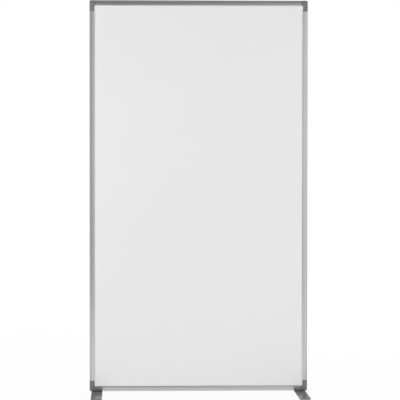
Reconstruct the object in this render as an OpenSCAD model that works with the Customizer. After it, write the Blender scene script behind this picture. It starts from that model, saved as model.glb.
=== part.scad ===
// Free-standing room divider: a double-sided board in an aluminium trim, on two flat steel feet.
// +X is to the right of someone facing the board, +Y points away from them and +Z is up.
// The origin is on the floor, under the middle of the board.
// Each corner piece is drawn once, for the lower left corner: "in" is the distance inward from
// the outer edge, and the depth through the board is centred on 0.

/* [Overall] */
// Width over the corner caps
overall_w = 1000; // [600:5:1500]
// Height from the floor to the top of the corner caps
overall_h = 1800; // [1000:5:2100]

/* [Board] */
// Thickness of the paper honeycomb between the two sheets
core_t = 22.6; // [18:0.2:40]
// Thickness of each writing sheet
sheet_t = 0.6; // [0.4:0.1:1.2]
// Clearance between a sheet and the lip of the trim
board_fit = 0.1; // [0.05:0.05:0.5]
// Clearance past the board's top and side edges, inside the trim
board_edge_gap = 0.5; // [0.2:0.1:2]

/* [Trim] */
// Width of the trim as seen from the front
trim_face = 25; // [20:0.5:40]
// Wall thickness of the extrusion, and of its lips
trim_wall = 1.5; // [1.2:0.1:2.2]
// Distance in from the outer edge to the far side of the hollow chamber
chamber_in = 9; // [8.5:0.1:10]
// Thickness of the web between the chamber and the channel for the board
web_t = 2; // [1:0.1:3]
// Radius of the rounded outer edge
shoulder_r = 6; // [4:0.5:7]
// Distance in from the outer edge to the crest, where the crowned band ends
crest_in = 16; // [14:0.5:18]
// Height of the step from the crest down to the lip
crest_step = 0.7; // [0.3:0.1:1.2]
// Lean of the crowned band at its crest, in degrees
crest_lean = 6; // [2:0.5:9]
// Radius of the crowned band between the rounded edge and the crest
crown_r = 35; // [30:1:60]
// Length of the taper along each lip's edge
lip_taper = 3; // [1:0.5:4]
// Thickness left at each lip's edge
lip_edge = 0.5; // [0.3:0.1:1]
// Distance in from the outer edge to the line along the crowned band
line_in = 10; // [9:0.5:12]
// Radius of the line's half-round groove
line_r = 0.6; // [0.3:0.1:0.9]

/* [Corner caps] */
// Length of a cap's upright leg
cap_leg_up = 50; // [40:1:80]
// Length of a cap's level leg
cap_leg_side = 32; // [31:0.5:45]
// Width of a cap's legs as seen from the front
cap_face = 22.5; // [18:0.5:23]
// How far a cap stands proud of the trim all round
cap_proud = 0.3; // [0.1:0.1:0.8]
// Radius of the cap's outer corner, seen from the front
corner_r = 7; // [5:0.5:8]
// Radius of the cap's inner corner
cap_inner_r = 8; // [3:0.5:8]
// Radius of the bend in the groove at a cap's corner
line_bend_r = 2; // [1:0.5:4]
// Gap between a cap and the end of each length of trim
butt_gap = 0.2; // [0.1:0.1:0.5]

/* [Corner keys] */
// How far a key reaches into each length of trim
key_reach = 40; // [30:1:80]
// Clearance round a key in its chamber
key_fit = 0.1; // [0.05:0.05:0.3]

/* [Feet] */
// Length of a foot, front to back
foot_len = 450; // [300:10:600]
// Width of a foot
foot_w = 50; // [45:1:60]
// Thickness of a foot
foot_t = 5; // [4:0.5:8]
// Distance in from the board's outer edge to the foot
foot_inset = 9; // [6:0.5:12]
// Radius of a foot's corners
foot_corner_r = 4; // [1:0.5:15]
// Bevel along a foot's upper edges
foot_bevel = 0.8; // [0.3:0.1:1.5]
// Length of a rubber pad, front to back
pad_len = 60; // [20:5:100]
// Width of a rubber pad
pad_w = 40; // [20:1:42]
// Thickness of a rubber pad
pad_t = 3; // [2:0.5:6]
// Distance from a foot's end to its pad
pad_end_gap = 8; // [4:1:30]
// Radius of a pad's corners
pad_corner_r = 6; // [2:0.5:9]

/* [Screws] */
// Thread diameter of every screw
screw_d = 5; // [4:0.5:6]
// Head diameter of every screw
screw_head_d = 9.2; // [7:0.1:10]
// Height of the straight rim round a screw's head
screw_rim = 0.3; // [0.2:0.1:0.5]
// Length of the screws in the caps and trim
short_screw_len = 8; // [7:0.5:8]
// Length of the screws in the feet
foot_screw_len = 12; // [11:0.5:12]
// Clearance round a screw in its hole
screw_fit = 0.05; // [0.02:0.01:0.1]
// Distance between the two screws of a foot
foot_screw_gap = 26; // [24:1:30]
// Distance from the corner to a cap's side screw
cap_screw_up = 24; // [16:1:34]
// Distance from a cap's end to the nearest trim screw
trim_screw_up = 15; // [10:1:20]
// Width of the cross cut in a screw's head
cross_w = 0.9; // [0.6:0.1:1.2]
// Length of the cross cut in a screw's head
cross_len = 4.6; // [3:0.1:5]
// Depth of the cross cut in a screw's head
cross_deep = 1.6; // [1:0.1:2]

/* [Hidden] */
$fn = 64;

// Corner names: -1 is the left or the lower one, 1 is the right or the upper one
left = -1;
right = 1;
lower = -1;
upper = 1;

// Board and the depth of the frame round it
board_t = core_t + 2 * sheet_t;
slot_w = board_t + 2 * board_fit;
cap_wall = trim_wall + cap_proud;
crest_y = slot_w / 2 + cap_wall + crest_step;
frame_depth = 2 * crest_y;
channel_in = chamber_in + web_t;

// Centres of the crowned band and the rounded edge, which meet at `blend_lean` from upright
crown_x = crest_in + crown_r * sin(crest_lean);
crown_y = crest_y - crown_r * cos(crest_lean);
blend_lean = asin((crown_x - shoulder_r) / (crown_r - shoulder_r));
shoulder_y = crown_y + (crown_r - shoulder_r) * cos(blend_lean);

// Levels above the floor
foot_z = pad_t;
frame_z = foot_z + foot_t;
frame_h = overall_h - frame_z;

// Extent of the board inside the trim
board_w = overall_w - 2 * (channel_in + board_edge_gap);
board_h = frame_h - 2 * channel_in - board_edge_gap;
board_z = frame_z + channel_in;

// Screw places along the foot's width, measured from the corner
foot_mid = foot_inset + foot_w / 2;
foot_screws_in = [foot_mid - foot_screw_gap / 2, foot_mid + foot_screw_gap / 2];
trim_screw_at = cap_leg_up + trim_screw_up;
foot_x = overall_w / 2 - foot_mid;
pad_y = foot_len / 2 - pad_end_gap - pad_len / 2;

// Outlines run past the pieces that they cut by this much
over = 1;
// Sides of the crowned band's large circle
crown_fn = 360;

aluminium = [0.76, 0.76, 0.75];
cap_grey = [0.46, 0.46, 0.46];
board_white = [0.91, 0.91, 0.90];
foot_grey = [0.33, 0.33, 0.33];
steel = [0.62, 0.63, 0.64];
paper_brown = [0.72, 0.60, 0.43];
rubber_black = [0.12, 0.12, 0.12];

// A rectangle with rounded corners, centred
module rounded_rect(w, l, r) {
    square([w, l - 2 * r], center = true);
    square([w - 2 * r, l], center = true);
    for (x = [-1, 1])
        for (y = [-1, 1])
            translate([x * (w / 2 - r), y * (l / 2 - r)])
                circle(r);
}

// Height of the crowned band over the middle of the board, shrunk by `inset`, at `x` from the edge
function crown_height(x, inset) = crown_y + sqrt(pow(crown_r - inset, 2) - pow(crown_x - x, 2));

// A strip across the frame's section, between two distances in from the outer edge
module strip_2d(start, end, half) {
    polygon([[start, -half], [end, -half], [end, half], [start, half]]);
}

// The crowned band's section between two distances in, shrunk by `inset`
module crown_2d(inset, start, end) {
    intersection() {
        translate([crown_x, crown_y])
            circle(crown_r - inset, $fn = crown_fn);
        translate([crown_x, -crown_y])
            circle(crown_r - inset, $fn = crown_fn);
        strip_2d(start, end, frame_depth);
    }
}

// The frame's section with its rounded edge and crowned band, shrunk by `inset`, in to `reach`
module nose_2d(inset, reach) {
    blend_x = crown_x - (crown_r - inset) * sin(blend_lean);
    intersection() {
        union() {
            for (side = [-1, 1])
                translate([shoulder_r, side * shoulder_y])
                    circle(shoulder_r - inset);
            strip_2d(inset, shoulder_r, shoulder_y);
            crown_2d(inset, blend_x, reach);
        }
        strip_2d(0, reach, frame_depth);
    }
}

// The section of one of the extrusion's lips, with its edge tapered towards the board
module lip_2d(start) {
    polygon([
        [start, slot_w / 2],
        [trim_face, slot_w / 2],
        [trim_face, slot_w / 2 + lip_edge],
        [trim_face - lip_taper, slot_w / 2 + trim_wall],
        [start, slot_w / 2 + trim_wall]
    ]);
}

// The extrusion's section: a rounded chamber outside, a channel for the board inside
module trim_2d() {
    crest = crest_in - cap_proud;
    difference() {
        union() {
            nose_2d(cap_proud, crest);
            for (side = [0, 1])
                mirror([0, side])
                    lip_2d(crest - crest_step);
        }
        nose_2d(cap_wall, chamber_in);
        strip_2d(channel_in, trim_face + over, slot_w / 2);
        for (side = [-1, 1])
            translate([line_in, side * crown_height(line_in, cap_proud)])
                circle(line_r);
    }
}

// Lays an upright piece on its side, with its outer edge facing down
module along_x() {
    mirror([0, 0, 1])
        rotate([0, 90, 0])
            children();
}

// Moves a lower left corner piece to one of the four corners
module at_corner(side, level) {
    corner_z = level == lower ? frame_z : frame_z + frame_h;
    translate([side * overall_w / 2, 0, corner_z])
        mirror([side == right ? 1 : 0, 0, 0])
            mirror([0, 0, level == upper ? 1 : 0])
                children();
}

// Something drawn as seen from the front, cut right through the frame's depth
module through_frame() {
    translate([0, frame_depth, 0])
        rotate([90, 0, 0])
            linear_extrude(2 * frame_depth)
                children();
}

// The crowned band's section beyond the corner's round, carried on inward at its full height
module crown_on_2d(inset, reach) {
    crown_2d(inset, corner_r, crest_in);
    strip_2d(crest_in, reach + over, crown_height(crest_in, inset));
}

// An L of the frame's section: its bands meet in a mitre, and its outer corner is rounded
module corner_form(inset, reach, up, sideways) {
    translate([0, 0, corner_r])
        linear_extrude(up - corner_r)
            nose_2d(inset, corner_r);
    translate([corner_r, 0, 0])
        along_x()
            linear_extrude(sideways - corner_r)
                nose_2d(inset, corner_r);
    intersection() {
        translate([0, 0, corner_r])
            linear_extrude(up - corner_r)
                crown_on_2d(inset, sideways);
        translate([corner_r, 0, 0])
            along_x()
                linear_extrude(sideways - corner_r)
                    crown_on_2d(inset, up);
        through_frame() {
            square([reach, up]);
            square([sideways, reach]);
        }
    }
    translate([corner_r, 0, corner_r])
        rotate([90, 0, 0])
            rotate([0, 0, 180])
                rotate_extrude(angle = 90)
                    translate([corner_r, 0])
                        mirror([1, 0])
                            nose_2d(inset, corner_r);
}

// A screw with a countersunk head, pointing up from z = 0
module screw_form(len, grow) {
    shank = screw_d / 2 + grow;
    head = screw_head_d / 2 + grow;
    rotate_extrude()
        polygon([
            [0, 0],
            [head, 0],
            [head, screw_rim],
            [shank, screw_rim + head - shank],
            [shank, len],
            [0, len]
        ]);
}

module screw(len) {
    difference() {
        screw_form(len, 0);
        for (turn = [0, 90])
            rotate([0, 0, turn])
                translate([-cross_len / 2, -cross_w / 2, -over])
                    cube([cross_len, cross_w, cross_deep + over]);
    }
}

// What a screw of that length needs cut away, open at its head
module screw_cut(len) {
    screw_form(len + over, screw_fit);
    translate([0, 0, -over])
        cylinder(r = screw_head_d / 2 + screw_fit, h = over + screw_rim / 2);
}

// Turns a screw to point inward from a stile, `at` above the corner and `start` in from the edge
module into_stile(at, start) {
    translate([start, 0, at])
        rotate([0, 90, 0])
            children();
}

// Turns a screw to point inward from a rail
module into_rail(at, start) {
    translate([at, 0, start])
        children();
}

// Every screw hole at a corner, in the lower left corner's own place
module corner_screw_cuts(level) {
    into_stile(cap_screw_up, 0)
        screw_cut(short_screw_len);
    into_stile(trim_screw_at, cap_proud)
        screw_cut(short_screw_len);
    if (level == lower) {
        for (at = foot_screws_in)
            into_rail(at, -foot_t)
                screw_cut(foot_screw_len);
    } else {
        into_rail(foot_screws_in[0], 0)
            screw_cut(short_screw_len);
        into_rail(foot_screws_in[1], cap_proud)
            screw_cut(short_screw_len);
    }
}

module board_sheet(side) {
    color(board_white)
        translate([-board_w / 2, side * (core_t + sheet_t) / 2 - sheet_t / 2, board_z])
            cube([board_w, sheet_t, board_h]);
}

module honeycomb_core() {
    color(paper_brown)
        translate([-board_w / 2, -core_t / 2, board_z])
            cube([board_w, core_t, board_h]);
}

module stile(side) {
    start = cap_leg_up + butt_gap;
    color(aluminium)
        difference() {
            at_corner(side, lower)
                translate([0, 0, start])
                    linear_extrude(frame_h - 2 * start)
                        trim_2d();
            for (level = [lower, upper])
                at_corner(side, level)
                    into_stile(trim_screw_at, cap_proud)
                        screw_cut(short_screw_len);
        }
}

module rail(level) {
    start = cap_leg_side + butt_gap;
    color(aluminium)
        difference() {
            at_corner(left, level)
                translate([start, 0, 0])
                    along_x()
                        linear_extrude(overall_w - 2 * start)
                            trim_2d();
            for (side = [left, right])
                at_corner(side, level)
                    corner_screw_cuts(level);
        }
}

// The L-shaped key that runs from the stile's chamber through the cap into the rail's
module corner_key(side, level) {
    inner = chamber_in - key_fit;
    up = cap_leg_up + key_reach;
    sideways = cap_leg_side + key_reach;
    color(steel)
        at_corner(side, level)
            difference() {
                corner_form(cap_wall + key_fit, inner, up, sideways);
                corner_screw_cuts(level);
            }
}

// The cap's front outline: two legs with a rounded inner corner
module cap_outline_2d() {
    far = cap_leg_up + cap_leg_side;
    difference() {
        square([cap_leg_side, cap_leg_up]);
        translate([cap_face, cap_face])
            difference() {
                square([far, far]);
                difference() {
                    translate([-over, -over])
                        square(cap_inner_r + over);
                    translate([cap_inner_r, cap_inner_r])
                        circle(cap_inner_r);
                }
            }
    }
}

// The groove round a cap, which carries on the line along the trim
module cap_line_cut() {
    bend = line_in + line_bend_r;
    for (side = [-1, 1])
        translate([0, side * crown_height(line_in, 0), 0]) {
            translate([line_in, 0, bend])
                cylinder(r = line_r, h = cap_leg_up);
            translate([bend, 0, line_in])
                rotate([0, 90, 0])
                    cylinder(r = line_r, h = cap_leg_side);
            translate([bend, 0, bend])
                rotate([90, 0, 0])
                    rotate([0, 0, 180])
                        rotate_extrude(angle = 90)
                            translate([line_bend_r, 0])
                                circle(line_r);
        }
}

// A square of the board's corner and what lies round it, beyond `start` from both outer edges
module board_corner(start, far, half) {
    translate([start, -half, start])
        cube([far - start, 2 * half, far - start]);
}

// A moulded cap: a shell round the front, the outer edges and the back of a corner
module corner_cap(side, level) {
    far = cap_leg_up + over;
    hollow = far + over;
    color(cap_grey)
        at_corner(side, level)
            difference() {
                intersection() {
                    union() {
                        corner_form(0, crest_in, far, far);
                        board_corner(crest_in, far, slot_w / 2 + cap_wall);
                    }
                    through_frame()
                        cap_outline_2d();
                }
                corner_form(cap_wall, channel_in, hollow, hollow);
                board_corner(channel_in, hollow, slot_w / 2);
                cap_line_cut();
                corner_screw_cuts(level);
            }
}

module cap_screws() {
    color(steel) {
        for (side = [left, right])
            for (level = [lower, upper])
                at_corner(side, level)
                    into_stile(cap_screw_up, 0)
                        screw(short_screw_len);
        for (side = [left, right])
            at_corner(side, upper)
                into_rail(foot_screws_in[0], 0)
                    screw(short_screw_len);
    }
}

module frame_screws() {
    color(steel) {
        for (side = [left, right])
            for (level = [lower, upper])
                at_corner(side, level)
                    into_stile(trim_screw_at, cap_proud)
                        screw(short_screw_len);
        for (side = [left, right])
            at_corner(side, upper)
                into_rail(foot_screws_in[1], cap_proud)
                    screw(short_screw_len);
    }
}

module foot_screws(side) {
    color(steel)
        at_corner(side, lower)
            for (at = foot_screws_in)
                into_rail(at, -foot_t)
                    screw(foot_screw_len);
}

// One side of a foot's bar as seen from its end, with a bevel along both upper edges
module bevelled_2d(w) {
    polygon([
        [-w / 2, 0],
        [w / 2, 0],
        [w / 2, foot_t - foot_bevel],
        [w / 2 - foot_bevel, foot_t],
        [-w / 2 + foot_bevel, foot_t],
        [-w / 2, foot_t - foot_bevel]
    ]);
}

module foot(side) {
    color(foot_grey)
        difference() {
            translate([side * foot_x, 0, foot_z])
                intersection() {
                    linear_extrude(foot_t)
                        rounded_rect(foot_w, foot_len, foot_corner_r);
                    translate([0, foot_len, 0])
                        rotate([90, 0, 0])
                            linear_extrude(2 * foot_len)
                                bevelled_2d(foot_w);
                    translate([-foot_w, 0, 0])
                        rotate([90, 0, 90])
                            linear_extrude(2 * foot_w)
                                bevelled_2d(foot_len);
                }
            at_corner(side, lower)
                for (at = foot_screws_in)
                    into_rail(at, -foot_t)
                        screw_cut(foot_screw_len);
        }
}

module foot_pads(side) {
    color(rubber_black)
        for (end = [-1, 1])
            translate([side * foot_x, end * pad_y, 0])
                linear_extrude(pad_t)
                    rounded_rect(pad_w, pad_len, pad_corner_r);
}

board_sheet(-1);  // front_board
board_sheet(1);  // rear_board
honeycomb_core();
rail(upper);  // top_rail
rail(lower);  // bottom_rail
stile(left);  // left_stile
stile(right);  // right_stile
corner_key(left, upper);  // corner_key_top_left
corner_key(right, upper);  // corner_key_top_right
corner_key(left, lower);  // corner_key_bottom_left
corner_key(right, lower);  // corner_key_bottom_right
corner_cap(left, upper);  // corner_cap_top_left
corner_cap(right, upper);  // corner_cap_top_right
corner_cap(left, lower);  // corner_cap_bottom_left
corner_cap(right, lower);  // corner_cap_bottom_right
cap_screws();
frame_screws();
foot(left);  // left_foot
foot(right);  // right_foot
foot_screws(left);  // left_foot_screws
foot_screws(right);  // right_foot_screws
foot_pads(left);  // left_foot_pads
foot_pads(right);  // right_foot_pads
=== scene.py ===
"""Free-standing room divider: the finishes, the detailed pieces, the studio and the camera."""
import math

import bpy
from mathutils import Euler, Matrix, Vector


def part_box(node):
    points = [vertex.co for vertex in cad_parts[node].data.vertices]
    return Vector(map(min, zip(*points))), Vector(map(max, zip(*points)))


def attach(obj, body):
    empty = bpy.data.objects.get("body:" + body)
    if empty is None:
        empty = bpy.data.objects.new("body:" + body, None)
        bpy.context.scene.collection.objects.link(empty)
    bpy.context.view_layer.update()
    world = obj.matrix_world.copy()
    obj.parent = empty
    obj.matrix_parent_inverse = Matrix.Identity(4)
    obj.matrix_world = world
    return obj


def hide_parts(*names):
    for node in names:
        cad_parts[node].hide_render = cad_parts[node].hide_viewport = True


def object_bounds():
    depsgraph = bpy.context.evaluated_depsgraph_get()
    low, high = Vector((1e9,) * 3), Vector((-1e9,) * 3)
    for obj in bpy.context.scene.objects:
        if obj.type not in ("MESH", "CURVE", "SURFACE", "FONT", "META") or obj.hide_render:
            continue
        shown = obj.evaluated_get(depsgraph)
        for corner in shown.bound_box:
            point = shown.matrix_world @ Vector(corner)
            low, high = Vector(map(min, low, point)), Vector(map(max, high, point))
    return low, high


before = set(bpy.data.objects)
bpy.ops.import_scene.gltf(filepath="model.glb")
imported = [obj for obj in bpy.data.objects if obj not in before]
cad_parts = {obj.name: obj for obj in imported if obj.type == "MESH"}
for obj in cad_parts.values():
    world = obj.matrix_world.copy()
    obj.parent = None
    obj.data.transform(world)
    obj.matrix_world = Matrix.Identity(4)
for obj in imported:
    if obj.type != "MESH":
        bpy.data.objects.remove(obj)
cad_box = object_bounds()

MM = 0.001
RAILS = ("top_rail", "bottom_rail")
STILES = ("left_stile", "right_stile")
CORNERS = ("top_left", "top_right", "bottom_left", "bottom_right")
SAME_POINT = 0.002 * MM

# The screws: countersunk, with a cross recess and a metric thread
SCREW = {"Head Radius": 4.6 * MM, "Rim": 0.3 * MM, "Edge": 0.08 * MM, "Thread Radius": 2.5 * MM,
         "Thread Depth": 0.42 * MM, "Pitch": 0.8 * MM, "Point": 0.6 * MM,
         "Cross Length": 4.6 * MM, "Cross Width": 0.9 * MM, "Cross Depth": 1.6 * MM}
SHORT_SCREW = 8 * MM
FOOT_SCREW = 12 * MM
# The recess loses this share of its width on the way down
CROSS_TAPER = 0.35
# Facets round a screw, and round each turn of its thread
SCREW_STEPS = 40
THREAD_STEPS = 24
# The screws' places, from the frame's outer corners
SCREW_IN = (21 * MM, 47 * MM)
CAP_SCREW_UP = 24 * MM
TRIM_SCREW_UP = 65 * MM

# The rubber pads under the feet
PAD = {"Width": 40 * MM, "Length": 60 * MM, "Thickness": 3 * MM, "Corner": 6 * MM,
       "Groove Width": 1.6 * MM, "Groove Depth": 0.9 * MM, "Groove Spacing": 5 * MM}
PAD_CORNER_STEPS = 8

# The paper cells in the board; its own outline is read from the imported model
CELLS = {"Cell": 25 * MM, "Paper": 0.35 * MM, "Width": 0.0, "Height": 0.0, "Depth": 0.0}

# Camera, in metres and degrees: it stands a little left of the middle, at chest height
CAMERA_AT = Vector((-0.339, -6.786, 1.096))
CAMERA_PAN = -1.365
CAMERA_TILT = -0.997
CAMERA_ROLL = -0.021
CAMERA_LENS = 133.20
CAMERA_SHIFT = (0.10, -0.05)

# The studio's walls, in metres
FRONT_WALL = -9.5
BACK_WALL = 4.0
SIDE_WALL = 5.5
WALL_SPLIT = 2.45
WALL_TOP = 5.4

WHITE = (1, 1, 1, 1)

# The floor: width, tone, and its own glow's share within the first distance and past the second
FLOOR_SIZE = 80.0
FLOOR_TONE = 0.95
GLOW_SHARE = (0.93, 1.0)
GLOW_REACH = (1.0, 3.5)

# Light for all that isn't glossy: the world's, and lamps with place, width, height and watts
WORLD_LIGHT = 0.65
LAMP_TARGET = (0, 0, 0.9)
LAMPS = {
    "left_light": ((-3.4, -4.4, 1.3), 1.6, 2.4, 79),
    "right_light": ((3.4, -4.4, 1.3), 1.6, 2.4, 17),
    "rear_light": ((1.6, 3.6, 3.0), 2.4, 1.8, 75),
}

# What the metal and the lacquer mirror is cards. Each has one tone, and 1 is white.
# Two boxes in front: place and tone
BOX_TARGET = (0, 0, 1.9)
BOX_SIZE = (1.6, 3.4)
BOXES = {"left_box": ((-3.6, -4.6, 1.9), 0.43), "right_box": ((3.6, -4.6, 1.9), 1.25)}
# The front and back walls' strips, from the left: right end, lower tone and upper tone
FRONT_STRIPS = ((-3.0, 0.60, 0.64), (-1.3, 0.74, 0.55), (-0.3, 0.52, 0.25), (0.9, 0.54, 0.08),
                (2.1, 0.95, 0.41), (3.2, 1.04, 0.65), (SIDE_WALL, 1.25, 0.89))
BACK_STRIPS = ((0.0, 0.4, 0.4), (SIDE_WALL, 0.4, 0.4))
# The side walls' and the ceiling's panels, from the front: back end and tone
LEFT_PANELS = ((-6.5, 0.65), (-4.0, 0.56), (-1.5, 0.56), (BACK_WALL, 0.55))
RIGHT_PANELS = ((-6.5, 1.25), (-4.0, 1.25), (-1.5, 1.06), (BACK_WALL, 0.36))
CEILING_PANELS = ((-6.0, 0.08), (-3.0, 0.08), (-0.5, 0.40), (BACK_WALL, 0.38))
# The floor's cards, round the object: left, right, front and back edge, and tone
FLOOR_CARD_UP = 2 * MM
FLOOR_SPLIT = -3.1
OBJECT_FRONT = -0.26
OBJECT_SIDE = 0.55
FLOOR_CARDS = {
    "far_floor_left": (-SIDE_WALL, 0.0, FRONT_WALL, FLOOR_SPLIT, 0.14),
    "far_floor_right": (0.0, SIDE_WALL, FRONT_WALL, FLOOR_SPLIT, 0.76),
    "near_floor_front": (-SIDE_WALL, SIDE_WALL, FLOOR_SPLIT, OBJECT_FRONT, 0.98),
    "near_floor_left": (-SIDE_WALL, -OBJECT_SIDE, OBJECT_FRONT, BACK_WALL, 0.62),
    "near_floor_right": (OBJECT_SIDE, SIDE_WALL, OBJECT_FRONT, BACK_WALL, 0.46),
}


def connect(tree, socket, value):
    """Gives an input a value, or another node's output."""
    if isinstance(value, bpy.types.NodeSocket):
        tree.links.new(value, socket)
    else:
        socket.default_value = value


def add_node(tree, kind, settings=None, inputs=None):
    """Adds a node to a tree, with its settings and its inputs."""
    made = tree.nodes.new(kind)
    for name, value in (settings or {}).items():
        setattr(made, name, value)
    for name, value in (inputs or {}).items():
        connect(tree, made.inputs[name], value)
    return made


def new_material(name, **constants):
    """A material with its shader, and the shader's constant sockets set."""
    material = bpy.data.materials.new(name)
    material.use_nodes = True
    tree = material.node_tree
    shader = tree.nodes["Principled BSDF"]
    for socket, value in constants.items():
        shader.inputs[socket.replace("_", " ")].default_value = value
    return material, tree, shader


def object_point(tree, scale=(1, 1, 1), turn=(0, 0, 0)):
    """The place on the object in metres, scaled and turned for a pattern."""
    place = add_node(tree, "ShaderNodeTexCoord").outputs["Object"]
    turned = [math.radians(angle) for angle in turn]
    return add_node(tree, "ShaderNodeMapping", None,
                    {"Vector": place, "Scale": scale, "Rotation": turned}).outputs["Vector"]


def noise(tree, point, scale, detail=2.0, rough=0.5):
    """A noise pattern's strength, from 0 to 1."""
    return add_node(tree, "ShaderNodeTexNoise", None,
                    {"Vector": point, "Scale": scale, "Detail": detail, "Roughness": rough}).outputs["Fac"]


def spread(tree, factor, low, high, start=0.3, end=0.7):
    """Maps a pattern's strength between start and end onto low to high."""
    return add_node(tree, "ShaderNodeMapRange", None,
                    {"Value": factor, "From Min": start, "From Max": end,
                     "To Min": low, "To Max": high}).outputs["Result"]


def tint(tree, factor, dark, light, start=0.3, end=0.7):
    """A colour between two, by a pattern's strength."""
    ramp = add_node(tree, "ShaderNodeValToRGB", None, {"Fac": factor})
    ramp.color_ramp.elements[0].position = start
    ramp.color_ramp.elements[0].color = (*dark, 1)
    ramp.color_ramp.elements[1].position = end
    ramp.color_ramp.elements[1].color = (*light, 1)
    return ramp.outputs["Color"]


def bump(tree, height, strength, depth):
    """A bump's normal; depth is the relief's real height in metres."""
    return add_node(tree, "ShaderNodeBump", None,
                    {"Height": height, "Strength": strength, "Distance": depth}).outputs["Normal"]


def feed(tree, shader, **sources):
    """Links patterns to the shader's sockets."""
    for socket, source in sources.items():
        tree.links.new(source, shader.inputs[socket.replace("_", " ")])


def lacquered_board():
    """White dry-wipe lacquer: a soft gloss, a trace of orange peel and faint wiping marks."""
    material, tree, shader = new_material("white_lacquer", Specular_IOR_Level=0.5)
    cloudy = noise(tree, object_point(tree), scale=1.7, detail=3.0)
    wiped = noise(tree, object_point(tree, scale=(1.3, 1.0, 9.0), turn=(0, 14, 0)),
                  scale=2.2, detail=5.0, rough=0.6)
    peel = noise(tree, object_point(tree), scale=420.0, detail=1.0)
    feed(tree, shader,
         Base_Color=tint(tree, cloudy, dark=(0.851, 0.840, 0.844), light=(0.867, 0.858, 0.856)),
         Roughness=spread(tree, wiped, low=0.17, high=0.27),
         Normal=bump(tree, peel, strength=0.35, depth=0.012 * MM))
    return material


def stretched(axis, across, lengthwise):
    """Three numbers, one of them lengthwise and the others across."""
    return [lengthwise if number == axis else across for number in range(3)]


def drawn_aluminium(name, axis):
    """Satin anodised aluminium, with fine lines drawn along one axis."""
    material, tree, shader = new_material(name, Metallic=1.0, Anisotropic=0.9,
                                          Anisotropic_Rotation=0.25)
    fine = noise(tree, object_point(tree, stretched(axis, across=2600.0, lengthwise=3.0)),
                 scale=1.0, detail=3.0, rough=0.65)
    broad = noise(tree, object_point(tree, stretched(axis, across=240.0, lengthwise=0.8)),
                  scale=1.0, detail=2.0)
    feed(tree, shader,
         Base_Color=tint(tree, broad, dark=(0.61, 0.61, 0.605), light=(0.67, 0.67, 0.66)),
         Roughness=spread(tree, fine, low=0.34, high=0.44),
         Normal=bump(tree, fine, strength=0.4, depth=0.004 * MM),
         Tangent=along(tree, *stretched(axis, across=0.0, lengthwise=1.0)))
    return material


def moulded_plastic():
    """Mid grey moulded plastic with a fine spark-eroded grain."""
    material, tree, shader = new_material("grey_plastic", Specular_IOR_Level=0.5)
    grain = noise(tree, object_point(tree), scale=1500.0, detail=2.0, rough=0.6)
    cloudy = noise(tree, object_point(tree), scale=45.0, detail=2.0)
    feed(tree, shader,
         Base_Color=tint(tree, cloudy, dark=(0.168, 0.168, 0.168), light=(0.192, 0.191, 0.190)),
         Roughness=spread(tree, grain, low=0.42, high=0.58),
         Normal=bump(tree, grain, strength=0.5, depth=0.02 * MM))
    return material


def powder_coat():
    """Dark grey powder coat, half gloss, with its fine pebbled surface."""
    material, tree, shader = new_material("dark_powder_coat", Specular_IOR_Level=0.5)
    pebble = noise(tree, object_point(tree), scale=900.0, detail=2.0, rough=0.55)
    cloudy = noise(tree, object_point(tree), scale=60.0, detail=2.0)
    feed(tree, shader,
         Base_Color=tint(tree, cloudy, dark=(0.178, 0.179, 0.175), light=(0.200, 0.201, 0.197)),
         Roughness=spread(tree, pebble, low=0.14, high=0.22),
         Normal=bump(tree, pebble, strength=0.35, depth=0.015 * MM))
    return material


def zinc_plate(name, low, high):
    """Bright zinc plating with faint cloudy crystals, between a low and a high tone."""
    material, tree, shader = new_material(name, Metallic=1.0)
    crystals = add_node(tree, "ShaderNodeTexVoronoi", None,
                        {"Vector": object_point(tree), "Scale": 260.0}).outputs["Color"]
    worn = noise(tree, object_point(tree), scale=700.0, detail=3.0)
    bluer = 1.02
    feed(tree, shader,
         Base_Color=tint(tree, crystals, dark=(low, low, low * bluer), light=(high, high, high * bluer),
                         start=0.0, end=1.0),
         Roughness=spread(tree, worn, low=0.26, high=0.42),
         Normal=bump(tree, worn, strength=0.2, depth=0.01 * MM))
    return material


def kraft_paper():
    """Brown paper with its fibres."""
    material, tree, shader = new_material("kraft_paper", Roughness=0.85)
    fibres = noise(tree, object_point(tree, scale=(1, 1, 0.35)), scale=900.0, detail=4.0, rough=0.7)
    feed(tree, shader,
         Base_Color=tint(tree, fibres, dark=(0.50, 0.37, 0.22), light=(0.66, 0.52, 0.34)),
         Normal=bump(tree, fibres, strength=0.5, depth=0.05 * MM))
    return material


def black_rubber():
    """Matt black rubber with a dusty bloom."""
    material, tree, shader = new_material("black_rubber")
    bloom = noise(tree, object_point(tree), scale=350.0, detail=3.0)
    feed(tree, shader,
         Base_Color=tint(tree, bloom, dark=(0.018, 0.018, 0.018), light=(0.034, 0.033, 0.032)),
         Roughness=spread(tree, bloom, low=0.62, high=0.82),
         Normal=bump(tree, bloom, strength=0.4, depth=0.03 * MM))
    return material


def new_tree(name, sizes):
    """A Geometry Nodes tree with its material and named sizes as inputs; gives the tree and the inputs."""
    tree = bpy.data.node_groups.new(name, "GeometryNodeTree")
    tree.interface.new_socket("Geometry", in_out="INPUT", socket_type="NodeSocketGeometry")
    tree.interface.new_socket("Material", in_out="INPUT", socket_type="NodeSocketMaterial")
    for label in sizes:
        tree.interface.new_socket(label, in_out="INPUT", socket_type="NodeSocketFloat")
    tree.interface.new_socket("Geometry", in_out="OUTPUT", socket_type="NodeSocketGeometry")
    return tree, tree.nodes.new("NodeGroupInput").outputs


def made_real(tree, copies):
    """Copies as one mesh."""
    return add_node(tree, "GeometryNodeRealizeInstances", None, {"Geometry": copies}).outputs["Geometry"]


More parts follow.
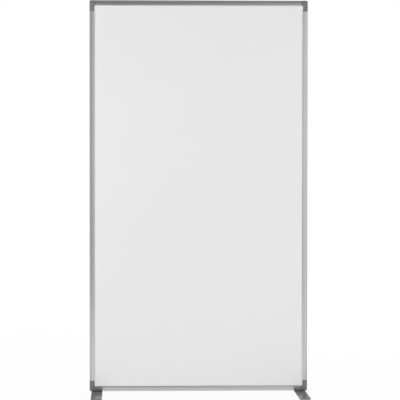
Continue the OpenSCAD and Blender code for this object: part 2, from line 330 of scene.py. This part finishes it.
def end_tree(tree, sizes, copies):
    """Ends a tree: everything made real, in the material of its input."""
    finished = add_node(tree, "GeometryNodeSetMaterial", None,
                        {"Geometry": made_real(tree, copies), "Material": sizes["Material"]})
    tree.links.new(finished.outputs["Geometry"], tree.nodes.new("NodeGroupOutput").inputs["Geometry"])


def put_on(tree, points, shape, turn=(0, 0, 0)):
    """A copy of a shape on each point."""
    return add_node(tree, "GeometryNodeInstanceOnPoints", None,
                    {"Points": points, "Instance": shape, "Rotation": turn}).outputs["Instances"]


def calc(tree, operation, *values):
    """A number worked out from others."""
    return add_node(tree, "ShaderNodeMath", {"operation": operation}, dict(enumerate(values))).outputs[0]


def along(tree, x=0.0, y=0.0, z=0.0):
    """A vector from three numbers."""
    return add_node(tree, "ShaderNodeCombineXYZ", None, {"X": x, "Y": y, "Z": z}).outputs["Vector"]


def pick(tree, index, values):
    """The value of that index."""
    chosen = add_node(tree, "GeometryNodeIndexSwitch", {"data_type": "FLOAT"})
    while len(chosen.index_switch_items) < len(values):
        chosen.index_switch_items.new()
    for place, value in enumerate((index, *values)):
        connect(tree, chosen.inputs[place], value)
    return chosen.outputs[0]


def joined(tree, *shapes):
    """Several shapes as one."""
    together = tree.nodes.new("GeometryNodeJoinGeometry")
    for shape in shapes:
        tree.links.new(shape, together.inputs["Geometry"])
    return together.outputs["Geometry"]


def moved(tree, shape, place=(0, 0, 0), turn=(0, 0, 0)):
    """A shape moved and turned."""
    return add_node(tree, "GeometryNodeTransform", None,
                    {"Geometry": shape, "Translation": place, "Rotation": turn}).outputs["Geometry"]


def set_places(tree, shape, places):
    """A shape with its points put in new places."""
    return add_node(tree, "GeometryNodeSetPosition", None,
                    {"Geometry": shape, "Position": places}).outputs["Geometry"]


def welded(tree, shape):
    """A shape with the points that meet made one."""
    return add_node(tree, "GeometryNodeMergeByDistance", None,
                    {"Geometry": shape, "Distance": SAME_POINT}).outputs["Geometry"]


def raised(tree, outline, height):
    """A filled outline raised to a closed solid."""
    pulled = add_node(tree, "GeometryNodeExtrudeMesh", {"mode": "FACES"},
                      {"Mesh": outline, "Offset": (0, 0, 1), "Offset Scale": height, "Individual": False})
    base = add_node(tree, "GeometryNodeFlipFaces", None, {"Mesh": outline})
    return welded(tree, joined(tree, pulled.outputs["Mesh"], base.outputs["Mesh"]))


def cut_away(tree, shape, *cutters):
    """A shape less the cutters."""
    cut = add_node(tree, "GeometryNodeMeshBoolean", {"operation": "DIFFERENCE", "solver": "EXACT"})
    tree.links.new(shape, cut.inputs["Mesh 1"])
    for cutter in cutters:
        tree.links.new(cutter, cut.inputs["Mesh 2"])
    return cut.outputs["Mesh"]


def creased(tree, shape, angle):
    """A smooth shape with its edges sharper than an angle in degrees kept crisp."""
    smooth = add_node(tree, "GeometryNodeSetShadeSmooth", {"domain": "FACE"},
                      {"Geometry": shape, "Shade Smooth": True})
    fold = add_node(tree, "GeometryNodeInputMeshEdgeAngle").outputs["Unsigned Angle"]
    sharp = calc(tree, "GREATER_THAN", fold, math.radians(angle))
    return add_node(tree, "GeometryNodeSetShadeSmooth", {"domain": "EDGE"},
                    {"Geometry": smooth.outputs["Geometry"], "Selection": sharp,
                     "Shade Smooth": False}).outputs["Geometry"]


def grown(name, tree, values, points, headings, material, node):
    """Runs a tree on points and keeps the result as a plain piece in the place of a CAD node."""
    seeds = bpy.data.meshes.new(name + "_points")
    seeds.from_pydata(points, [], [])
    heading = seeds.attributes.new("heading", "FLOAT_VECTOR", "POINT")
    for entry, direction in zip(heading.data, headings):
        entry.vector = direction
    piece = bpy.data.objects.new(name, seeds)
    bpy.context.scene.collection.objects.link(piece)
    modifier = piece.modifiers.new(name, "NODES")
    modifier.node_group = tree
    for socket in tree.interface.items_tree:
        if socket.name == "Material":
            modifier[socket.identifier] = material
        elif socket.name in values:
            modifier[socket.identifier] = values[socket.name]
    made = bpy.data.meshes.new_from_object(piece.evaluated_get(bpy.context.evaluated_depsgraph_get()))
    piece.modifiers.remove(modifier)
    piece.data = made
    made.name = name
    bpy.data.meshes.remove(seeds)
    made.materials.clear()
    made.materials.append(material)
    made.polygons.foreach_set("material_index", [0] * len(made.polygons))
    for left_over in [entry for entry in made.attributes if entry.name == "heading"]:
        made.attributes.remove(left_over)
    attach(piece, "root")
    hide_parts(node)


def screw_tree():
    """A countersunk screw on each point: a turned body, a cross recess and a real thread."""
    tree, sizes = new_tree("countersunk_screws", list(SCREW) + ["Length", "Seed"])
    head, thread, edge = sizes["Head Radius"], sizes["Thread Radius"], sizes["Edge"]
    core = calc(tree, "SUBTRACT", thread, sizes["Thread Depth"])
    neck = calc(tree, "SUBTRACT", calc(tree, "ADD", sizes["Rim"], head), thread)
    runout = calc(tree, "ADD", neck, sizes["Thread Depth"])
    shoulder = calc(tree, "SUBTRACT", sizes["Length"], sizes["Point"])
    # The outline that is turned: each point's radius, and its depth below the head's face
    outline = ((0.0, 0.0), (calc(tree, "SUBTRACT", head, edge), 0.0), (head, edge),
               (head, sizes["Rim"]), (thread, neck), (thread, calc(tree, "ADD", neck, edge)),
               (core, runout), (core, shoulder),
               (calc(tree, "SUBTRACT", core, sizes["Point"]), sizes["Length"]),
               (0.0, sizes["Length"]))
    rows = len(outline)
    sheet = add_node(tree, "GeometryNodeMeshGrid", None,
                     {"Size X": 1.0, "Size Y": 1.0, "Vertices X": SCREW_STEPS + 1, "Vertices Y": rows})
    index = tree.nodes.new("GeometryNodeInputIndex").outputs["Index"]
    row = calc(tree, "MODULO", index, rows)
    step = calc(tree, "FLOOR", calc(tree, "DIVIDE", index, rows))
    angle = calc(tree, "MULTIPLY", step, math.tau / SCREW_STEPS)
    radius = pick(tree, row, [point[0] for point in outline])
    depth = pick(tree, row, [point[1] for point in outline])
    places = along(tree, calc(tree, "MULTIPLY", radius, calc(tree, "COSINE", angle)),
                   calc(tree, "MULTIPLY", radius, calc(tree, "SINE", angle)), depth)
    body = welded(tree, set_places(tree, sheet.outputs["Mesh"], places))

    # The recess: two crossed blades that get narrower with depth
    deep = sizes["Cross Depth"]
    blade = add_node(tree, "GeometryNodeMeshCube", None,
                     {"Size": along(tree, sizes["Cross Length"], sizes["Cross Width"],
                                    calc(tree, "MULTIPLY", deep, 2.0))}).outputs["Mesh"]
    at = add_node(tree, "ShaderNodeSeparateXYZ", None,
                  {"Vector": tree.nodes.new("GeometryNodeInputPosition").outputs["Position"]}).outputs
    lost = calc(tree, "MULTIPLY", calc(tree, "DIVIDE", at["Z"], deep), CROSS_TAPER)
    narrow = calc(tree, "SUBTRACT", 1.0, lost)
    blade = set_places(tree, blade, along(tree, calc(tree, "MULTIPLY", at["X"], narrow),
                                          calc(tree, "MULTIPLY", at["Y"], narrow), at["Z"]))
    body = cut_away(tree, body, blade, moved(tree, blade, turn=(0, 0, math.pi / 2)))

    # The thread: a four-sided ridge wound round the core
    helix = calc(tree, "SUBTRACT", shoulder, runout)
    turns = calc(tree, "DIVIDE", helix, sizes["Pitch"])
    spiral = add_node(tree, "GeometryNodeCurveSpiral", None,
                      {"Resolution": THREAD_STEPS, "Rotations": turns,
                       "Start Radius": core, "End Radius": core, "Height": helix})
    upright = add_node(tree, "GeometryNodeSetCurveNormal", {"mode": "Z_UP"},
                       {"Curve": spiral.outputs["Curve"]})
    ridge = add_node(tree, "GeometryNodeCurvePrimitiveCircle", None,
                     {"Resolution": 4, "Radius": sizes["Thread Depth"]})
    winding = add_node(tree, "GeometryNodeCurveToMesh", None,
                       {"Curve": upright.outputs["Curve"], "Profile Curve": ridge.outputs["Curve"],
                        "Fill Caps": True})
    screw = joined(tree, creased(tree, body, angle=28),
                   moved(tree, winding.outputs["Mesh"], along(tree, z=runout)))

    # Each screw points along its heading, and is turned by chance about it
    heading = add_node(tree, "GeometryNodeInputNamedAttribute", {"data_type": "FLOAT_VECTOR"},
                       {"Name": "heading"}).outputs["Attribute"]
    facing = add_node(tree, "FunctionNodeAlignRotationToVector", {"axis": "Z"}, {"Vector": heading})
    set_in = put_on(tree, sizes["Geometry"], screw, facing.outputs["Rotation"])
    chance = add_node(tree, "FunctionNodeRandomValue", {"data_type": "FLOAT"},
                      {3: math.tau, "Seed": sizes["Seed"]})
    driven = add_node(tree, "GeometryNodeRotateInstances", None,
                      {"Instances": set_in, "Rotation": along(tree, z=chance.outputs[1])})
    end_tree(tree, sizes, driven.outputs["Instances"])
    return tree


def round_frame(side, levels, inward, top):
    """Screws in from both sides at some levels, then two down from the top: each one's place and heading."""
    sideways = [((hand * side, 0, level), (-hand, 0, 0)) for hand in (-1, 1) for level in levels]
    return sideways + [((hand * inward, 0, top), (0, 0, -1)) for hand in (-1, 1)]


def fit_screws(material):
    """The four groups of screws, each on its corners' places and pointing inward."""
    tree = screw_tree()
    side, top = cad_box[1][0], cad_box[1][2]
    trim_side, trim_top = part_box("right_stile")[1][0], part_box("top_rail")[1][2]
    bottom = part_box("corner_cap_bottom_left")[0][2]
    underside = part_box("left_foot")[0][2]
    near, far = side - SCREW_IN[0], side - SCREW_IN[1]
    groups = {
        "cap_screws": round_frame(side, (bottom + CAP_SCREW_UP, top - CAP_SCREW_UP), near, top),
        "frame_screws": round_frame(trim_side, (bottom + TRIM_SCREW_UP, top - TRIM_SCREW_UP), far, trim_top),
        "left_foot_screws": [((-inward, 0, underside), (0, 0, 1)) for inward in (near, far)],
        "right_foot_screws": [((inward, 0, underside), (0, 0, 1)) for inward in (near, far)],
    }
    for seed, (node, places) in enumerate(groups.items(), 1):
        length = FOOT_SCREW if "foot" in node else SHORT_SCREW
        grown("countersunk_" + node, tree, {**SCREW, "Length": length, "Seed": float(seed)},
              [place for place, _ in places], [direction for _, direction in places],
              material, node)


def pad_tree():
    """A rubber pad on each point: rounded corners, and grooves across the face that meets the floor."""
    tree, sizes = new_tree("ribbed_pads", PAD)
    outline = add_node(tree, "GeometryNodeCurvePrimitiveQuadrilateral", None,
                       {"Width": sizes["Width"], "Height": sizes["Length"]})
    rounded = add_node(tree, "GeometryNodeFilletCurve", {"mode": "POLY"},
                       {"Curve": outline.outputs["Curve"], "Count": PAD_CORNER_STEPS,
                        "Radius": sizes["Corner"]})
    filled = add_node(tree, "GeometryNodeFillCurve", {"mode": "NGONS"}, {"Curve": rounded.outputs["Curve"]})
    pad = raised(tree, filled.outputs["Mesh"], sizes["Thickness"])

    # As many grooves as fit between the rounded corners, about the middle
    run = calc(tree, "SUBTRACT", sizes["Length"], calc(tree, "MULTIPLY", sizes["Corner"], 2.0))
    count = calc(tree, "ADD", calc(tree, "FLOOR", calc(tree, "DIVIDE", run, sizes["Groove Spacing"])), 1.0)
    first = calc(tree, "MULTIPLY", calc(tree, "SUBTRACT", count, 1.0),
                 calc(tree, "MULTIPLY", sizes["Groove Spacing"], -0.5))
    row = add_node(tree, "GeometryNodeMeshLine", {"mode": "OFFSET"},
                   {"Count": count, "Start Location": along(tree, y=first),
                    "Offset": along(tree, y=sizes["Groove Spacing"])})
    wide = calc(tree, "MULTIPLY", sizes["Width"], 2.0)
    deep = calc(tree, "MULTIPLY", sizes["Groove Depth"], 2.0)
    cutter = add_node(tree, "GeometryNodeMeshCube", None,
                      {"Size": along(tree, wide, sizes["Groove Width"], deep)})
    cutters = made_real(tree, put_on(tree, row.outputs["Mesh"], cutter.outputs["Mesh"]))
    ribbed = creased(tree, cut_away(tree, pad, cutters), angle=30)
    end_tree(tree, sizes, put_on(tree, sizes["Geometry"], ribbed))
    return tree


def fit_pads(material):
    """A ribbed pad under each end of both feet."""
    tree = pad_tree()
    for side in ("left", "right"):
        node = side + "_foot_pads"
        low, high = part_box(node)
        middle = (low[0] + high[0]) / 2
        reach = high[1] - PAD["Length"] / 2
        grown("ribbed_" + node, tree, PAD, [(middle, -reach, low[2]), (middle, reach, low[2])],
              [(0, 0, 1)] * 2, material, node)


def honeycomb_tree():
    """Paper cells: three-armed walls on a staggered grid, whose arms meet in hexagons."""
    tree, sizes = new_tree("paper_cells", CELLS)
    paper = sizes["Paper"]
    arm = calc(tree, "DIVIDE", sizes["Cell"], math.sqrt(3))
    half = calc(tree, "MULTIPLY", paper, 0.5)
    # The star has nine corners: two at each arm's end, and one between each arm and the next
    star = add_node(tree, "GeometryNodeMeshCircle", {"fill_type": "NGON"}, {"Vertices": 9, "Radius": 1.0})
    index = tree.nodes.new("GeometryNodeInputIndex").outputs["Index"]
    corner = calc(tree, "MODULO", index, 3.0)
    arm_number = calc(tree, "FLOOR", calc(tree, "DIVIDE", index, 3.0))
    reach = pick(tree, corner, (arm, arm, calc(tree, "MULTIPLY", half, 1 / math.sqrt(3))))
    aside = pick(tree, corner, (calc(tree, "MULTIPLY", half, -1.0), half, half))
    angle = calc(tree, "ADD", calc(tree, "MULTIPLY", arm_number, math.tau / 3), math.pi / 2)
    turned = add_node(tree, "ShaderNodeVectorRotate", {"rotation_type": "Z_AXIS"},
                      {"Vector": along(tree, reach, aside), "Angle": angle})
    walls = raised(tree, set_places(tree, star.outputs["Mesh"], turned.outputs["Vector"]), sizes["Depth"])

    # The grid takes as many whole cells as fit inside the board
    step = sizes["Cell"]
    rise = calc(tree, "MULTIPLY", step, math.sqrt(3) / 2)
    inner_width = calc(tree, "SUBTRACT", sizes["Width"], step)
    inner_height = calc(tree, "SUBTRACT", sizes["Height"], calc(tree, "MULTIPLY", arm, 1.5))
    across = calc(tree, "FLOOR", calc(tree, "DIVIDE", inner_width, step))
    upward = calc(tree, "FLOOR", calc(tree, "DIVIDE", inner_height, rise))
    grid = add_node(tree, "GeometryNodeMeshGrid", None,
                    {"Size X": calc(tree, "MULTIPLY", calc(tree, "SUBTRACT", across, 1.0), step),
                     "Size Y": calc(tree, "MULTIPLY", calc(tree, "SUBTRACT", upward, 1.0), rise),
                     "Vertices X": across, "Vertices Y": upward})
    at = tree.nodes.new("GeometryNodeInputPosition").outputs["Position"]
    odd = calc(tree, "MODULO", calc(tree, "MODULO", index, upward), 2.0)
    shift = calc(tree, "MULTIPLY", calc(tree, "SUBTRACT", odd, 0.5), calc(tree, "MULTIPLY", step, 0.5))
    staggered = add_node(tree, "ShaderNodeVectorMath", {"operation": "ADD"}, {0: at, 1: along(tree, shift)})
    points = set_places(tree, grid.outputs["Mesh"], staggered.outputs["Vector"])
    upright = moved(tree, put_on(tree, points, walls),
                    along(tree, y=calc(tree, "MULTIPLY", sizes["Depth"], 0.5)), (math.pi / 2, 0, 0))
    end_tree(tree, sizes, put_on(tree, sizes["Geometry"], upright))
    return tree


def fit_core(material):
    """The paper honeycomb between the two sheets."""
    low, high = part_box("honeycomb_core")
    width, depth, height = (high[i] - low[i] for i in range(3))
    grown("paper_honeycomb", honeycomb_tree(), {**CELLS, "Width": width, "Height": height, "Depth": depth},
          [(0, 0, (low[2] + high[2]) / 2)], [(0, 0, 1)], material, "honeycomb_core")


def finish_node(name, material):
    """Gives a CAD node its finish."""
    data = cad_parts[name].data
    data.materials.clear()
    data.materials.append(material)


def finish_frame():
    """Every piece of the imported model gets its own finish."""
    lacquer = lacquered_board()
    for name in ("front_board", "rear_board"):
        finish_node(name, lacquer)
    fit_core(kraft_paper())
    rail_metal = drawn_aluminium("drawn_aluminium_level", axis=0)
    for name in RAILS:
        finish_node(name, rail_metal)
    stile_metal = drawn_aluminium("drawn_aluminium_upright", axis=2)
    for name in STILES:
        finish_node(name, stile_metal)
    plastic = moulded_plastic()
    key_zinc = zinc_plate("zinc_on_keys", low=0.42, high=0.50)
    for corner in CORNERS:
        finish_node("corner_cap_" + corner, plastic)
        finish_node("corner_key_" + corner, key_zinc)
    fit_screws(zinc_plate("zinc_on_screws", low=0.50, high=0.60))
    paint = powder_coat()
    for side in ("left", "right"):
        finish_node(side + "_foot", paint)
    fit_pads(black_rubber())


def seen_by_camera_or_mirror(tree):
    """1 for rays from the camera, a gloss or a clear surface, and 0 for the rest."""
    ray = add_node(tree, "ShaderNodeLightPath").outputs
    first = calc(tree, "MAXIMUM", ray["Is Camera Ray"], ray["Is Glossy Ray"])
    return calc(tree, "MAXIMUM", first, ray["Is Transmission Ray"])


def white_world(strength):
    """An even light all round, seen as plain white."""
    world = bpy.data.worlds.new("studio")
    bpy.context.scene.world = world
    world.use_nodes = True
    tree = world.node_tree
    light = tree.nodes["Background"]
    light.inputs["Strength"].default_value = strength
    light.inputs["Color"].default_value = WHITE
    backdrop = add_node(tree, "ShaderNodeBackground", None, {"Color": WHITE, "Strength": 1.0})
    mixed = add_node(tree, "ShaderNodeMixShader", None,
                     {0: seen_by_camera_or_mirror(tree),
                      1: light.outputs["Background"], 2: backdrop.outputs["Background"]})
    tree.links.new(mixed.outputs["Shader"], tree.nodes["World Output"].inputs["Surface"])


def flat_card(name, width, height):
    """A flat stage piece, centred, facing +Z."""
    w, h = width / 2, height / 2
    mesh = bpy.data.meshes.new(name)
    mesh.from_pydata([(-w, -h, 0), (w, -h, 0), (w, h, 0), (-w, h, 0)], [], [(0, 1, 2, 3)])
    card = bpy.data.objects.new(name, mesh)
    bpy.context.scene.collection.objects.link(card)
    return card


def pale_floor():
    """A wide white floor. It shines by itself, less so near the object, where it keeps a faint shadow."""
    floor = flat_card("floor", FLOOR_SIZE, FLOOR_SIZE)
    material, tree, shader = new_material("white_floor", Roughness=1.0, Specular_IOR_Level=0.0,
                                          Base_Color=(FLOOR_TONE, FLOOR_TONE, FLOOR_TONE, 1))
    glowing = add_node(tree, "ShaderNodeEmission", None, {"Color": WHITE, "Strength": 1.0})
    reach = add_node(tree, "ShaderNodeVectorMath", {"operation": "LENGTH"}, {0: object_point(tree)})
    glow = spread(tree, reach.outputs["Value"], *GLOW_SHARE, *GLOW_REACH)
    share = calc(tree, "MULTIPLY", seen_by_camera_or_mirror(tree), glow)
    mixed = add_node(tree, "ShaderNodeMixShader", None,
                     {0: share, 1: shader.outputs["BSDF"], 2: glowing.outputs["Emission"]})
    tree.links.new(mixed.outputs["Shader"], tree.nodes["Material Output"].inputs["Surface"])
    floor.data.materials.append(material)


def look_from(thing, place, target):
    """Puts a lamp or card at a place, facing a target."""
    thing.location = place
    thing.rotation_euler = (Vector(target) - Vector(place)).to_track_quat("-Z", "Y").to_euler()


def softbox(name, place, target, width, height, power):
    """A wide soft lamp that no gloss mirrors; its width and height are in metres, its power in watts."""
    lamp = bpy.data.lights.new(name, "AREA")
    lamp.shape = "RECTANGLE"
    lamp.size = width
    lamp.size_y = height
    lamp.energy = power
    box = bpy.data.objects.new(name, lamp)
    bpy.context.scene.collection.objects.link(box)
    look_from(box, place, target)
    box.visible_camera = False
    box.visible_glossy = False


def reflector(name, place, facing, width, height, tone):
    """A card of an even tone that only the glossy surfaces see; it faces a point."""
    card = flat_card(name, width, height)
    material = bpy.data.materials.new(name)
    material.use_nodes = True
    tree = material.node_tree
    tree.nodes.clear()
    even = add_node(tree, "ShaderNodeEmission", None, {"Color": WHITE, "Strength": tone})
    add_node(tree, "ShaderNodeOutputMaterial", None, {"Surface": even.outputs["Emission"]})
    card.data.materials.append(material)
    look_from(card, place, facing)
    card.visible_camera = False
    card.visible_diffuse = False
    card.visible_shadow = False


def in_a_row(start, cards):
    """For cards side by side from a start: each one's number, middle, length and tones."""
    for number, (end, *tones) in enumerate(cards, 1):
        yield number, (start + end) / 2, end - start, tones
        start = end


def wall_reflectors(wall, place, strips):
    """Upright strips before or behind the object, with a lower and an upper card each."""
    for number, middle, width, (low, high) in in_a_row(-SIDE_WALL, strips):
        for part, foot, top, tone in (("low", 0.0, WALL_SPLIT, low), ("high", WALL_SPLIT, WALL_TOP, high)):
            level = (foot + top) / 2
            reflector("%s_%s_%d" % (wall, part, number), (middle, place, level), (middle, 0, level),
                      width, top - foot, tone)


def side_reflectors(side, place, panels):
    """Upright panels beside the object."""
    level = WALL_TOP / 2
    for number, middle, width, (tone,) in in_a_row(FRONT_WALL, panels):
        reflector("%s_side_%d" % (side, number), (place, middle, level), (0, middle, level),
                  width, WALL_TOP, tone)


def ceiling_reflectors(panels):
    """Level panels over the object."""
    for number, middle, length, (tone,) in in_a_row(FRONT_WALL, panels):
        reflector("ceiling_%d" % number, (0, middle, WALL_TOP), (0, middle, 0),
                  2 * SIDE_WALL, length, tone)


def floor_reflector(name, left, right, front, back, tone):
    """A level card on the floor, from its left, right, front and back edge."""
    x, y = (left + right) / 2, (front + back) / 2
    reflector(name, (x, y, FLOOR_CARD_UP), (x, y, 1), right - left, back - front, tone)


def place_camera():
    """The photograph's view."""
    data = bpy.data.cameras.new("camera")
    data.sensor_width = 36.0
    data.lens = CAMERA_LENS
    data.shift_x, data.shift_y = CAMERA_SHIFT
    data.clip_end = 200.0
    camera = bpy.data.objects.new("camera", data)
    bpy.context.scene.collection.objects.link(camera)
    camera.location = CAMERA_AT
    camera.rotation_euler = Euler((math.radians(90 + CAMERA_TILT), math.radians(CAMERA_ROLL),
                                   math.radians(CAMERA_PAN)))
    bpy.context.scene.camera = camera


place_camera()
finish_frame()
white_world(WORLD_LIGHT)
pale_floor()
for lamp_name, (lamp_at, *lamp_size, watts) in LAMPS.items():
    softbox(lamp_name, lamp_at, LAMP_TARGET, *lamp_size, watts)
for box_name, (box_at, box_tone) in BOXES.items():
    reflector(box_name, box_at, BOX_TARGET, *BOX_SIZE, box_tone)
wall_reflectors("front", FRONT_WALL, FRONT_STRIPS)
wall_reflectors("back", BACK_WALL, BACK_STRIPS)
side_reflectors("left", -SIDE_WALL, LEFT_PANELS)
side_reflectors("right", SIDE_WALL, RIGHT_PANELS)
ceiling_reflectors(CEILING_PANELS)
for card_name, card in FLOOR_CARDS.items():
    floor_reflector(card_name, *card)
bpy.context.scene.view_settings.view_transform = "Standard"
